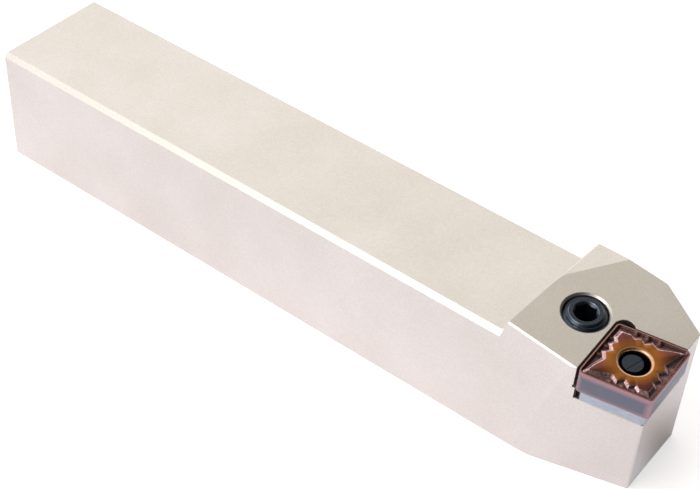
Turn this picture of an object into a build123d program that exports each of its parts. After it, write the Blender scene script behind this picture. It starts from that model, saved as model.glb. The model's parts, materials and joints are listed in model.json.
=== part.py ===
from build123d import *
import os
from math import cos, radians, sin, tan

# Left-hand lever-lock turning tool holder with a rhombic insert, in millimetres.
# +X points from the shank to the cutting end, +Z up, +Y to the reference side face.
# The origin is the middle of the shank's base face.

# ---- shank and head -------------------------------------------------------------
SHANK_WIDTH = 25.0
SHANK_HEIGHT = 25.0
SHANK_LENGTH = 122.2      # back end to the foot of the step
HEAD_LENGTH = 27.8        # foot of the step to the cutting corner
SHANK_CHAMFER = 0.9
HEAD_RISE = 4.2           # flat part of the head's top, above the shank's top
STEP_LEAN = 20.0          # degrees from upright
STEP_FILLET = 1.0
STEP_EDGE_BREAK = 0.2
CORNER_SETBACK = 3.0      # near side face to the cutting corner
RAKE = 6.0                # degrees, square to the main cutting edge, negative rake
INCLINATION = 6.0         # degrees, along the main cutting edge
LEAD_ANGLE = 15.0         # main cutting edge to the shank's axis, seen from above
END_RELIEF = 5.0          # end face to square across the shank, seen from above
CLEARANCE_ANGLE = 6.0     # the head's side and end faces lean in below the insert
CLEARANCE_INSET = 0.8     # those faces lie this far inside the cutting corner
BACK_CUT_SETBACK = 12.1   # cutting corner back to where the far side's slant starts
BACK_CUT_ANGLE = 27.5     # that slant to the shank's axis
BACK_CUT_RADIUS = 1.5
FRONT_RADIUS = 0.5        # round upright edges at both ends of the end face
HEAD_EDGE_BREAK = 0.3

# ---- insert ---------------------------------------------------------------------
INSERT_CIRCLE = 12.7      # inscribed circle
INSERT_THICKNESS = 4.76
SHARP_ANGLE = 80.0        # the other two corners, one of which cuts, are blunt
INSERT_CORNER_RADIUS = 0.8
INSERT_HOLE = 5.16
INSERT_HOLE_ROUND = 0.55
LAND_WIDTH = 0.22         # flat rim between the edge and the chip groove
GROOVE_DEPTH = 0.3
GROOVE_SLOPE_WIDTH = 0.55
PLATEAU_FLARE = 0.12      # how much further out the raised middle is at its foot

# ---- shim, pin, lever and screw -------------------------------------------------
SHIM_INSET = 0.6          # each side, inside the insert's
SHIM_THICKNESS = 3.0
SHIM_CORNER_RADIUS = 0.8
SHIM_EDGE_BREAK = 0.25
PIN_DIAMETER = 6.8
PIN_WALL = 0.5
PIN_DEPTH = 3.6           # below the pocket floor
PIN_GAP = 1.1             # the slot down the tube
PIN_TOP_DROP = 0.25       # below the shim's top
PIN_CLEARANCE = 0.03
SCREW_WEB = 1.35          # insert's inner side to the screw's bore
LEVER_ANGLE = 152.0       # main cutting edge to the line from the insert's hole to the screw
LEVER_TOP_DROP = 0.8      # nose below the insert's top
NOSE_LINE_WIDTH = 0.15    # fine line across the nose's top, square to the arm
NOSE_LINE_DEPTH = 0.08
NOSE_LINE_OFFSET = 0.35   # from the nose's axis, away from the screw
NOSE_PLAY = 0.96          # insert's hole less the nose at its widest
NOSE_CLEARANCE = 0.1      # clamped nose to the hole's wall
NOSE_CROWN = 0.6          # nose at its widest less its flat top
NOSE_WAIST = 0.5          # nose at its widest less the stem below it
LEVER_TILT = 3.8          # degrees, clamped to free
ARM_WIDTH = 4.0
ARM_THICKNESS = 2.8
ARM_DROP = 1.0            # arm's top below the pin's lower end
ARM_CLEARANCE = 0.5       # to the cavity's walls, floor and roof
HEEL_RADIUS = 2.6
HEEL_CHAMFER = 0.8
SCREW_THREAD = 7.88       # over the thread's crests
SCREW_CLEARANCE = 0.06    # crests to the bore, all round
SCREW_FACE = 5.9
SCREW_CHAMFER = 1.0       # height of the cone below the face
SCREW_PROUD = 0.3
SCREW_NECK = 4.6
SCREW_FOOT = 6.9
SCREW_FOOT_HEIGHT = 3.0
SCREW_FOOT_CHAMFER = 0.6
SCREW_THREAD_CHAMFER = 0.5  # where the thread ends at the neck
SCREW_HEX = 3.5           # across the flats
SCREW_HEX_MOUTH = 4.25    # round countersink at the socket's mouth
SCREW_HEX_DEPTH = 6.0
GROOVE_PLAY = 0.15        # arm to the groove at rest
BORE_CHAMFER = 0.35
ACCESS_BORE = 7.0         # from the base, for a key or a drift
BORE_FOOT_ROOM = 1.2

# ---- pocket ---------------------------------------------------------------------
WALL_CLEARANCE = 0.03
SIDE_WALL_RELIEF = 0.42   # wall along the insert's inner side, above its middle
BACK_WALL_RELIEF = 0.2    # wall behind the insert, above its middle
WALL_END_RELIEF = 4.0     # length at the open end where it is cut back down to the shim
UNDERCUT_DEPTH = 0.12     # past that wall, level with the insert's seat
UNDERCUT_HEIGHT = 0.6
CORNER_HOLE_RADIUS = 1.8
CORNER_HOLE_ALONG = 1.4   # along the back wall, from the insert's inner corner
CORNER_HOLE_IN = 0.6      # into the pocket from that wall's line
CORNER_HOLE_DEPTH = 0.6   # below the pocket floor
SEAT_EDGE_BREAK = 0.2     # pocket floor's open edges

CUT_OVERRUN = 1.0         # how far a cut runs on past the metal it opens
MATCH = 0.01              # how closely a chosen radius or direction must agree

# ---- places worked out from the sizes -------------------------------------------
BACK_X = -SHANK_LENGTH / 2
STEP_X = BACK_X + SHANK_LENGTH
NEAR_Y = -SHANK_WIDTH / 2
FAR_Y = SHANK_WIDTH / 2
HEAD_TOP = SHANK_HEIGHT + HEAD_RISE
cutting_corner = Vector(STEP_X + HEAD_LENGTH, NEAR_Y + CORNER_SETBACK, SHANK_HEIGHT)

# The insert's top plane falls away from the cutting corner along both edges.
edge_heading = radians(LEAD_ANGLE)
along_edge = Vector(cos(edge_heading), sin(edge_heading), -tan(radians(INCLINATION)))
across_edge = Vector(-sin(edge_heading), cos(edge_heading), tan(radians(RAKE)))
up = along_edge.cross(across_edge).normalized()
top_plane = Plane(origin=cutting_corner, x_dir=along_edge, z_dir=up)

INSERT_SIDE = INSERT_CIRCLE / sin(radians(SHARP_ANGLE))
centre_x = -INSERT_SIDE * (1 - cos(radians(SHARP_ANGLE))) / 2
insert_top = Plane(
    origin=top_plane.from_local_coords(Vector(centre_x, INSERT_CIRCLE / 2, 0)),
    x_dir=top_plane.x_dir,
    z_dir=up,
)
insert_seat = insert_top.offset(-INSERT_THICKNESS)
pocket_floor = insert_seat.offset(-SHIM_THICKNESS)

SCREW_BORE = SCREW_THREAD + 2 * SCREW_CLEARANCE
side_to_lever = radians(90 + SHARP_ANGLE - LEVER_ANGLE)
LEVER_REACH = (INSERT_CIRCLE / 2 + SCREW_WEB + SCREW_BORE / 2) / cos(side_to_lever)
lever_heading = radians(LEVER_ANGLE)
screw_local = Vector(LEVER_REACH * cos(lever_heading), LEVER_REACH * sin(lever_heading), 0)
screw_centre = insert_top.from_local_coords(screw_local)
arm_dir = (screw_centre - insert_top.origin).normalized()


def upright(point):
    """Plane through a point, local x towards the screw and local y up the insert's axis."""
    return Plane(origin=point, x_dir=arm_dir, z_dir=arm_dir.cross(up))


def rhombus(circle):
    """Corners of a rhombus round its centre: cutting, inner side, inner back, outer back."""
    side = circle / sin(radians(SHARP_ANGLE))
    half_x = side * (1 - cos(radians(SHARP_ANGLE))) / 2
    lean = side * (1 + cos(radians(SHARP_ANGLE))) / 2
    half_y = circle / 2
    return [
        Vector(half_x, -half_y),
        Vector(-lean, -half_y),
        Vector(-half_x, half_y),
        Vector(lean, half_y),
    ]


LEVER_NOSE = INSERT_HOLE - NOSE_PLAY
LEVER_TOP = LEVER_NOSE - NOSE_CROWN
LEVER_STEM = LEVER_NOSE - NOSE_WAIST

# Depths below the insert's top plane, along its axis.
FLOOR_DEPTH = INSERT_THICKNESS + SHIM_THICKNESS
PIN_FOOT = FLOOR_DEPTH + PIN_DEPTH
ARM_TOP = PIN_FOOT + ARM_DROP
ARM_FOOT = ARM_TOP + ARM_THICKNESS
PIVOT_DEPTH = (ARM_TOP + ARM_FOOT) / 2
NOSE_SHIFT = NOSE_PLAY / 2 - NOSE_CLEARANCE
ARM_LIFT = (LEVER_REACH - SCREW_NECK / 2) * tan(radians(LEVER_TILT))
NECK_TOP = ARM_TOP - ARM_LIFT - GROOVE_PLAY
NECK_FOOT = ARM_FOOT + GROOVE_PLAY
SCREW_END = NECK_FOOT + SCREW_FOOT_HEIGHT
BORE_END = SCREW_END + BORE_FOOT_ROOM


# ---- holder body ----------------------------------------------------------------
FRONT_X = cutting_corner.X + HEAD_LENGTH
STEP_TOP_X = STEP_X + HEAD_RISE * tan(radians(STEP_LEAN))
STEP_FOOT_Z = SHANK_HEIGHT - 2 * SHANK_CHAMFER
STEP_FOOT_X = STEP_X - 2 * SHANK_CHAMFER * tan(radians(STEP_LEAN))

lead = radians(LEAD_ANGLE)
relief = radians(END_RELIEF)
clearance = radians(CLEARANCE_ANGLE)
side_face = Plane(
    origin=cutting_corner + Vector(0, CLEARANCE_INSET / cos(lead), 0),
    z_dir=Vector(sin(lead) * cos(clearance), -cos(lead) * cos(clearance), -sin(clearance)),
)
end_face = Plane(
    origin=cutting_corner - Vector(CLEARANCE_INSET / cos(relief), 0, 0),
    z_dir=Vector(cos(relief) * cos(clearance), sin(relief) * cos(clearance), -sin(clearance)),
)
back_cut = Plane(
    origin=(cutting_corner.X - BACK_CUT_SETBACK, FAR_Y, 0),
    z_dir=Vector(sin(radians(BACK_CUT_ANGLE)), cos(radians(BACK_CUT_ANGLE)), 0),
)


def pocket_corners(side_gap, back_gap, side_start=0.0):
    """Pocket outline: its inner corner, then out along both walls past the head's faces."""
    _, inner_side, inner_back, outer_back = rhombus(INSERT_CIRCLE)
    down_side = (inner_side - inner_back).normalized()
    along_back = (outer_back - inner_back).normalized()
    spread = sin(radians(SHARP_ANGLE))
    corner = inner_back - along_back * (side_gap / spread) - down_side * (back_gap / spread)
    reach = 2 * INSERT_SIDE
    start = corner + down_side * side_start
    return [
        start,
        corner + down_side * reach,
        corner + down_side * reach + along_back * reach,
        start + along_back * reach,
    ]


with BuildPart() as holder_body:
    with BuildSketch(Plane.YZ.offset(BACK_X)):
        with Locations((0, SHANK_HEIGHT / 2)):
            bar = Rectangle(SHANK_WIDTH, SHANK_HEIGHT)
        chamfer(bar.vertices(), SHANK_CHAMFER)
    extrude(amount=FRONT_X - BACK_X)
    chamfer(faces().sort_by(Axis.X)[0].edges(), SHANK_CHAMFER)

    # The raised head, seen from the side, stands on the bar.
    with BuildSketch(Plane.XZ):
        Polygon(
            (STEP_FOOT_X, SHANK_HEIGHT / 2),
            (FRONT_X, SHANK_HEIGHT / 2),
            (FRONT_X, HEAD_TOP),
            (STEP_TOP_X, HEAD_TOP),
            (STEP_FOOT_X, STEP_FOOT_Z),
            align=None,
        )
    extrude(amount=SHANK_WIDTH / 2, both=True)
    step_foot = edges().sort_by_distance(Vertex(STEP_X, 0, SHANK_HEIGHT))[0]
    fillet(step_foot, STEP_FILLET)

    # Tilted top and the three slanted faces round the end of the head.
    for face in (side_face, end_face, back_cut):
        split(bisect_by=face, keep=Keep.BOTTOM)
    back_cut_start = Vertex(back_cut.origin.X, back_cut.origin.Y, SHANK_HEIGHT / 2)
    far_edge = edges().sort_by_distance(back_cut_start)[0]
    fillet(far_edge, BACK_CUT_RADIUS)
    end_edges = faces().sort_by(Axis.X)[-1].edges().sort_by(SortBy.LENGTH)[-2:]
    fillet(end_edges, FRONT_RADIUS)
    split(bisect_by=top_plane, keep=Keep.BOTTOM)
    top_face = faces().filter_by(Plane(origin=cutting_corner, z_dir=up)).sort_by(SortBy.AREA)[-1]
    near_top = top_face.edges().sort_by(Axis.Y)[0]
    chamfer(near_top, HEAD_EDGE_BREAK)
    step_top = edges().filter_by(Axis.Y).sort_by_distance(Vertex(STEP_TOP_X, 0, HEAD_TOP))[0]
    chamfer(step_top, STEP_EDGE_BREAK)

    # Insert pocket: close walls low down, cut back above the insert's middle.
    with BuildSketch(pocket_floor):
        Polygon(*pocket_corners(WALL_CLEARANCE, WALL_CLEARANCE), align=None)
    extrude(amount=2 * FLOOR_DEPTH, mode=Mode.SUBTRACT)
    with BuildSketch(insert_seat.offset(INSERT_THICKNESS / 2)):
        Polygon(*pocket_corners(SIDE_WALL_RELIEF, BACK_WALL_RELIEF), align=None)
    extrude(amount=2 * FLOOR_DEPTH, mode=Mode.SUBTRACT)
    with BuildSketch(insert_seat):
        Polygon(
            *pocket_corners(SIDE_WALL_RELIEF, 0, INSERT_SIDE - WALL_END_RELIEF), align=None
        )
    extrude(amount=2 * FLOOR_DEPTH, mode=Mode.SUBTRACT)
    with BuildSketch(insert_seat.offset(-UNDERCUT_HEIGHT / 2)):
        Polygon(*pocket_corners(SIDE_WALL_RELIEF + UNDERCUT_DEPTH, WALL_CLEARANCE), align=None)
    extrude(amount=UNDERCUT_HEIGHT, mode=Mode.SUBTRACT)
    seat_tip = Vertex(*pocket_floor.from_local_coords(rhombus(INSERT_CIRCLE)[0]))
    seat = faces().filter_by(pocket_floor).sort_by_distance(seat_tip)[0]
    chamfer(seat.edges().sort_by_distance(seat_tip)[:3], SEAT_EDGE_BREAK)
    inner_corner = rhombus(INSERT_CIRCLE)[2]
    with BuildSketch(pocket_floor.offset(-CORNER_HOLE_DEPTH)):
        with Locations(inner_corner + Vector(CORNER_HOLE_ALONG, -CORNER_HOLE_IN)):
            Circle(CORNER_HOLE_RADIUS)
    extrude(amount=2 * FLOOR_DEPTH, mode=Mode.SUBTRACT)

    # Bore for the pin and the lever's heel, then the slot for the lever's arm.
    pin_bore = PIN_DIAMETER / 2 + PIN_CLEARANCE
    heel_bore = HEEL_RADIUS + ARM_CLEARANCE
    with BuildSketch(upright(insert_top.origin)):
        with BuildLine():
            Polyline(
                (0, -FLOOR_DEPTH + CUT_OVERRUN),
                (pin_bore, -FLOOR_DEPTH + CUT_OVERRUN),
                (pin_bore, -PIN_FOOT - PIN_CLEARANCE),
                (heel_bore, -PIN_FOOT - PIN_CLEARANCE),
                (heel_bore, -ARM_FOOT - ARM_CLEARANCE),
                (0, -ARM_FOOT - ARM_CLEARANCE),
                close=True,
            )
        make_face()
    revolve(axis=Axis(insert_top.origin, up), mode=Mode.SUBTRACT)
    with BuildSketch(upright(insert_top.origin)):
        with Locations((LEVER_REACH / 2, -(ARM_TOP - ARM_LIFT + ARM_FOOT) / 2)):
            Rectangle(LEVER_REACH, ARM_THICKNESS + ARM_LIFT + 2 * ARM_CLEARANCE)
    extrude(amount=ARM_WIDTH / 2 + ARM_CLEARANCE, both=True, mode=Mode.SUBTRACT)

    # Screw bore with its mouth's chamfer, and the smaller bore on to the base.
    with BuildSketch(upright(screw_centre)):
        with BuildLine():
            Polyline(
                (0, HEAD_RISE),
                (SCREW_BORE / 2 + BORE_CHAMFER + HEAD_RISE, HEAD_RISE),
                (SCREW_BORE / 2 + BORE_CHAMFER, 0),
                (SCREW_BORE / 2, -BORE_CHAMFER),
                (SCREW_BORE / 2, -BORE_END),
                (ACCESS_BORE / 2, -BORE_END - (SCREW_BORE - ACCESS_BORE) / 2),
                (ACCESS_BORE / 2, -2 * SHANK_HEIGHT),
                (0, -2 * SHANK_HEIGHT),
                close=True,
            )
        make_face()
    revolve(axis=Axis(screw_centre, up), mode=Mode.SUBTRACT)

holder_body.part.label = "holder_body"


# ---- insert ---------------------------------------------------------------------
# The raised middle's outline beside one edge: along the edge from its middle towards
# the blunt corner, and in from the edge. Three notches, then the long arms.
NOTCHES = [
    (-4.7, 1.25),
    (-1.2, 2.25),
    (-0.1, 1.05),
    (0.95, 2.35),
    (1.95, 1.05),
    (2.9, 1.9),
    (3.7, 1.15),
    (4.9, 1.15),
]


def plateau_points(flare):
    """Outline of the raised middle, the notched edge mirrored to all four sides."""
    cutting, inner_side, inner_back, outer_back = rhombus(INSERT_CIRCLE)
    outline = []
    for blunt, sharp in (
        (cutting, inner_side),
        (inner_back, inner_side),
        (inner_back, outer_back),
        (cutting, outer_back),
    ):
        middle = (blunt + sharp) * 0.5
        forward = (blunt - sharp).normalized()
        inward = -middle.normalized()
        side = [
            middle + forward * along + inward * (depth - flare) for along, depth in NOTCHES
        ]
        outline.append(side)
    first, second, third, fourth = outline
    return first[::-1] + second + third[::-1] + fourth


def corner_radius(inset):
    """Corner radius of an outline that lies this far inside the insert's edge."""
    return max(INSERT_CORNER_RADIUS - inset, INSERT_CORNER_RADIUS / 4)


with BuildPart() as chip_groove:
    with BuildSketch(Plane.XY):
        rim = Polygon(*rhombus(INSERT_CIRCLE - 2 * LAND_WIDTH), align=None)
        fillet(rim.vertices(), corner_radius(LAND_WIDTH))
    with BuildSketch(Plane.XY.offset(-GROOVE_DEPTH)):
        groove_inset = LAND_WIDTH + GROOVE_SLOPE_WIDTH
        floor = Polygon(*rhombus(INSERT_CIRCLE - 2 * groove_inset), align=None)
        fillet(floor.vertices(), corner_radius(groove_inset))
    loft(ruled=True)
    with BuildSketch(Plane.XY):
        Polygon(*plateau_points(0), align=None)
    with BuildSketch(Plane.XY.offset(-GROOVE_DEPTH)):
        Polygon(*plateau_points(PLATEAU_FLARE), align=None)
    loft(ruled=True, mode=Mode.SUBTRACT)

with BuildPart() as insert:
    with BuildSketch(insert_seat):
        outline = Polygon(*rhombus(INSERT_CIRCLE), align=None)
        fillet(outline.vertices(), INSERT_CORNER_RADIUS)
    extrude(amount=INSERT_THICKNESS)
    add(insert_top * chip_groove.part, mode=Mode.SUBTRACT)
    add(insert_seat * chip_groove.part.mirror(Plane.XY), mode=Mode.SUBTRACT)
    with BuildSketch(insert_seat):
        Circle(INSERT_HOLE / 2)
    extrude(amount=INSERT_THICKNESS, mode=Mode.SUBTRACT)
    hole_rims = edges().filter_by(GeomType.CIRCLE).filter_by(
        lambda e: abs(e.radius - INSERT_HOLE / 2) < MATCH
    )
    fillet(hole_rims, INSERT_HOLE_ROUND)

insert.part.label = "insert"


# ---- shim and its tubular pin ---------------------------------------------------
with BuildPart() as shim:
    with BuildSketch(pocket_floor):
        outline = Polygon(*rhombus(INSERT_CIRCLE - 2 * SHIM_INSET), align=None)
        fillet(outline.vertices(), SHIM_CORNER_RADIUS)
        Circle(PIN_DIAMETER / 2 + PIN_CLEARANCE, mode=Mode.SUBTRACT)
    extrude(amount=SHIM_THICKNESS)
    lower_rim = faces().sort_by(Axis(pocket_floor.origin, up))[0].outer_wire().edges()
    chamfer(lower_rim, SHIM_EDGE_BREAK)

shim.part.label = "shim"

with BuildPart() as shim_pin:
    with BuildSketch(insert_top.offset(-PIN_FOOT)):
        Circle(PIN_DIAMETER / 2)
        Circle(PIN_DIAMETER / 2 - PIN_WALL, mode=Mode.SUBTRACT)
    extrude(amount=PIN_DEPTH + SHIM_THICKNESS - PIN_TOP_DROP)
    outer_rims = edges().filter_by(GeomType.CIRCLE).filter_by(
        lambda e: abs(e.radius - PIN_DIAMETER / 2) < MATCH
    )
    chamfer(outer_rims, PIN_WALL / 2)
    with BuildSketch(upright(insert_top.origin)):
        with Locations((-PIN_DIAMETER / 2, -PIN_FOOT)):
            Rectangle(PIN_DIAMETER, 4 * SHIM_THICKNESS)
    extrude(amount=PIN_GAP / 2, both=True, mode=Mode.SUBTRACT)

shim_pin.part.label = "shim_pin"


# ---- lever ----------------------------------------------------------------------
lever_foot = insert_top.origin + arm_dir * NOSE_SHIFT

with BuildPart() as lever:
    # Stem: a barrel-shaped nose in the insert's hole, a waist, and a round heel.
    with BuildSketch(upright(lever_foot)):
        with BuildLine():
            ThreePointArc(
                (LEVER_TOP / 2, -LEVER_TOP_DROP),
                (LEVER_NOSE / 2, -INSERT_THICKNESS / 2),
                (LEVER_STEM / 2, -INSERT_THICKNESS),
            )
            Polyline(
                (LEVER_STEM / 2, -INSERT_THICKNESS),
                (LEVER_STEM / 2, -PIN_FOOT),
                (HEEL_RADIUS, -ARM_TOP),
                (HEEL_RADIUS, -PIVOT_DEPTH),
                (HEEL_RADIUS - HEEL_CHAMFER, -ARM_FOOT),
                (0, -ARM_FOOT),
                (0, -LEVER_TOP_DROP),
                (LEVER_TOP / 2, -LEVER_TOP_DROP),
            )
        make_face()
    revolve(axis=Axis(lever_foot, up))
    with BuildSketch(upright(lever_foot)):
        with Locations((-NOSE_LINE_OFFSET, -LEVER_TOP_DROP)):
            Rectangle(NOSE_LINE_WIDTH, 2 * NOSE_LINE_DEPTH)
    extrude(amount=LEVER_NOSE, both=True, mode=Mode.SUBTRACT)

    # Arm: a flat bar to the screw's groove, hollowed round its neck.
    with BuildSketch(upright(lever_foot)):
        with Locations(((LEVER_REACH - NOSE_SHIFT) / 2, -PIVOT_DEPTH)):
            Rectangle(LEVER_REACH - NOSE_SHIFT, ARM_THICKNESS)
    extrude(amount=ARM_WIDTH / 2, both=True)
    neck_plane = Plane(origin=screw_centre - up * (ARM_FOOT + CUT_OVERRUN), x_dir=arm_dir, z_dir=up)
    with BuildSketch(neck_plane):
        Circle(SCREW_NECK / 2 + 2 * GROOVE_PLAY)
        with Locations((LEVER_REACH / 2, 0)):
            Rectangle(LEVER_REACH, 2 * ARM_WIDTH)
    extrude(amount=ARM_THICKNESS + 2 * CUT_OVERRUN, mode=Mode.SUBTRACT)

lever.part.label = "lever"


# ---- clamp screw ----------------------------------------------------------------
with BuildPart() as clamp_screw:
    with BuildSketch(upright(screw_centre)):
        with BuildLine():
            Polyline(
                (0, SCREW_PROUD),
                (SCREW_FACE / 2, SCREW_PROUD),
                (SCREW_THREAD / 2, SCREW_PROUD - SCREW_CHAMFER),
                (SCREW_THREAD / 2, -NECK_TOP + SCREW_THREAD_CHAMFER),
                (SCREW_THREAD / 2 - SCREW_THREAD_CHAMFER, -NECK_TOP),
                (SCREW_NECK / 2, -NECK_TOP),
                (SCREW_NECK / 2, -NECK_FOOT),
                (SCREW_FOOT / 2, -NECK_FOOT),
                (SCREW_FOOT / 2, -SCREW_END + SCREW_FOOT_CHAMFER),
                (SCREW_FOOT / 2 - SCREW_FOOT_CHAMFER, -SCREW_END),
                (0, -SCREW_END),
                close=True,
            )
        make_face()
    revolve(axis=Axis(screw_centre, up))
    with BuildSketch(Plane(origin=screw_centre + up * SCREW_PROUD, x_dir=(1, 0, 0), z_dir=up)):
        RegularPolygon(SCREW_HEX / 2, 6, major_radius=False)
    extrude(amount=-SCREW_HEX_DEPTH, mode=Mode.SUBTRACT)
    with BuildSketch(upright(screw_centre)):
        Polygon(
            (0, SCREW_PROUD),
            (SCREW_HEX_MOUTH / 2, SCREW_PROUD),
            (0, SCREW_PROUD - SCREW_HEX_MOUTH / 2),
            align=None,
        )
    revolve(axis=Axis(screw_centre, up), mode=Mode.SUBTRACT)

clamp_screw.part.label = "clamp_screw"


os.makedirs("parts", exist_ok=True)
for piece in (holder_body, insert, shim, shim_pin, lever, clamp_screw):
    export_step(piece.part, f"parts/{piece.part.label}.step")
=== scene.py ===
"""Looks of a left-hand lever-lock turning tool holder, built round its CAD frame.

The frame gives every piece its place. Sizes are millimetres where no other unit is
named, and MM turns them into metres where a mesh or a pattern is placed.
"""

import json
import logging
import math
from abc import ABC, abstractmethod
from collections.abc import Callable, Sequence
from dataclasses import dataclass, field
from enum import Enum
from functools import partial

import bmesh
import bpy
from mathutils import Matrix, Vector


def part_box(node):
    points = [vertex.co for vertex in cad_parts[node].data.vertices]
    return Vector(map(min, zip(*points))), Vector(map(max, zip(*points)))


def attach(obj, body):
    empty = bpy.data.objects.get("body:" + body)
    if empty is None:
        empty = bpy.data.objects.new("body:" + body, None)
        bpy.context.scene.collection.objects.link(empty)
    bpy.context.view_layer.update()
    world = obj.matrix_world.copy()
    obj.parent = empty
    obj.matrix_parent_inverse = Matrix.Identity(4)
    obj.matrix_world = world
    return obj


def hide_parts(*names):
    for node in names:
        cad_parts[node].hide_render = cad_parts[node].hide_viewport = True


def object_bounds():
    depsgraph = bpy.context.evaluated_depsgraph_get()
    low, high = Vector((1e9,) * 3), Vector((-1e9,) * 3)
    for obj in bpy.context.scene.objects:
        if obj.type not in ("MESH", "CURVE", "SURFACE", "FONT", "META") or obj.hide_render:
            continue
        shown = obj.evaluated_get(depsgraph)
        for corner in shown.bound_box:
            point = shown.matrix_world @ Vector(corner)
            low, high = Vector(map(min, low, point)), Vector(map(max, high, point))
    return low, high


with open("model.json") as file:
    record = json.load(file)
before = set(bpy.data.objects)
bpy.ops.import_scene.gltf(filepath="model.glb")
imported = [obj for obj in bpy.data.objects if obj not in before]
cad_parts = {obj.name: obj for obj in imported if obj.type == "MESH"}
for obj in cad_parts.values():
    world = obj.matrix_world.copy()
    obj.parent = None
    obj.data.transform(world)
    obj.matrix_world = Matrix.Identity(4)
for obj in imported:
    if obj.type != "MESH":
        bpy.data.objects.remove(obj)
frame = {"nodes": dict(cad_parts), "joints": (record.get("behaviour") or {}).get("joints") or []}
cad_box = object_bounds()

log = logging.getLogger("tool_holder")

MM = 0.001
SAME_PLACE = 1e-5  # millimetres within which two vertices are one
FULL_TURN = 2 * math.pi
LEAD_ANGLE = 15.0  # degrees from the shank to the main cutting edge, seen from above
NOISE_LOW, NOISE_MIDDLE, NOISE_HIGH = 0.3, 0.5, 0.7  # the usual span of a noise
RingPlace = Callable[[int], Vector]  # where a ring's vertex of a given number goes
Triple = tuple[float, float, float]
Pairs = tuple[tuple[float, float], ...]
Stops = tuple[tuple[float, str], ...]


class Slot(Enum):
    """Material slots of the record for the new pieces, which nothing in the script reads."""

    INSERT = "coated_carbide"
    SCREW = "black_oxide_steel"


def linear(hex_colour: str) -> tuple[float, float, float, float]:
    """Turns an sRGB hex colour into the linear colour that a shader takes.

    Args:
        hex_colour: Six hex digits after a hash, such as "#e4dcd0".

    Returns:
        Linear red, green and blue, and an alpha of 1.
    """
    parts = [int(hex_colour[i : i + 2], 16) / 255 for i in (1, 3, 5)]
    red, green, blue = (
        c / 12.92 if c <= 0.04045 else ((c + 0.055) / 1.055) ** 2.4 for c in parts
    )
    return red, green, blue, 1.0


def add_node(
    tree: bpy.types.NodeTree,
    kind: str,
    inputs: dict | None = None,
    stops: Sequence[tuple[float, str]] | None = None,
    **settings: object,
) -> bpy.types.Node:
    """Adds a node with its settings, its inputs and the links that feed them.

    Args:
        tree: Node tree that takes the node.
        kind: Blender's name of the node's type, after its "ShaderNode".
        inputs: Socket name or number to a value, or to what is linked into it: an
            output, or a node for its first output.
        stops: Places and hex colours of a colour ramp.
        **settings: The node's own properties.

    Returns:
        The new node.
    """
    node = tree.nodes.new("ShaderNode" + kind)
    for name, value in settings.items():
        setattr(node, name, value)
    for socket, value in (inputs or {}).items():
        if isinstance(value, bpy.types.Node):
            value = value.outputs[0]
        if isinstance(value, bpy.types.NodeSocket):
            tree.links.new(value, node.inputs[socket])
        else:
            node.inputs[socket].default_value = value
    if stops:
        elements = node.color_ramp.elements
        while len(elements) < len(stops):
            elements.new(1.0)
        for element, (place, hex_colour) in zip(elements, stops):
            element.position = place
            element.color = linear(hex_colour)
    return node


def new_material(name: str) -> tuple[bpy.types.Material, bpy.types.NodeTree]:
    """Makes an empty node material.

    Args:
        name: The finish's name.

    Returns:
        The material and its node tree.
    """
    material = bpy.data.materials.new(name)
    material.use_nodes = True
    material.node_tree.nodes.clear()
    return material, material.node_tree


@dataclass(frozen=True)
class Axes:
    """A piece's own axes in the shared frame, z along its own up."""

    matrix: Matrix

    @classmethod
    def of_insert(cls, lead_angle: float) -> "Axes":
        """Finds the insert's axes, x along its main cutting edge, from the frame.

        Args:
            lead_angle: Degrees from +X to the main cutting edge, seen from above.

        Returns:
            Axes with their origin in the middle of the insert.
        """
        low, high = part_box("insert")
        centre = (Vector(low) + Vector(high)) / 2
        up = joint_axis("insert_lift")
        heading = math.radians(lead_angle)
        along = Vector((math.cos(heading), math.sin(heading), 0))
        along.z = -along.dot(up) / up.z
        return cls.standing(centre, up, along.normalized())

    @classmethod
    def of_screw(cls) -> "Axes":
        """Finds the clamp screw's axes from the frame.

        Returns:
            Axes with their origin level with the head's top.
        """
        joint = named_joint("screw_turn")
        up = joint_axis("screw_turn")
        along = Vector((1, 0, -up.x / up.z)).normalized()
        return cls.standing(Vector(joint["pos_m"]), up, along)

    @classmethod
    def standing(cls, origin: Vector, up: Vector, along: Vector) -> "Axes":
        """Builds axes from an origin, an up and an along that is square to it."""
        turn = Matrix((along, up.cross(along), up)).transposed().to_4x4()
        return cls(Matrix.Translation(origin) @ turn)

    def place(self) -> Matrix:
        """Matrix from the piece's own millimetres to the shared frame's metres."""
        return self.matrix @ Matrix.Scale(MM, 4)

    def coordinates(self, tree: bpy.types.NodeTree) -> bpy.types.NodeSocket:
        """Gives a material the millimetres along these axes.

        Args:
            tree: The material's node tree.

        Returns:
            The socket that holds the coordinates.
        """
        mapping = add_node(
            tree,
            "Mapping",
            {
                "Vector": add_node(tree, "TexCoord").outputs["Object"],
                "Location": self.matrix.to_translation(),
                "Rotation": self.matrix.to_euler(),
                "Scale": (MM, MM, MM),
            },
            vector_type="TEXTURE",
        )
        return mapping.outputs["Vector"]


def named_joint(name: str) -> dict:
    """Looks a joint up in the frame by its name."""
    return next(joint for joint in frame["joints"] if joint["name"] == name)


def joint_axis(name: str) -> Vector:
    """Unit vector of a joint's axis."""
    return Vector(named_joint(name)["axis"]).normalized()


# ---- finishes -------------------------------------------------------------------


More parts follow.
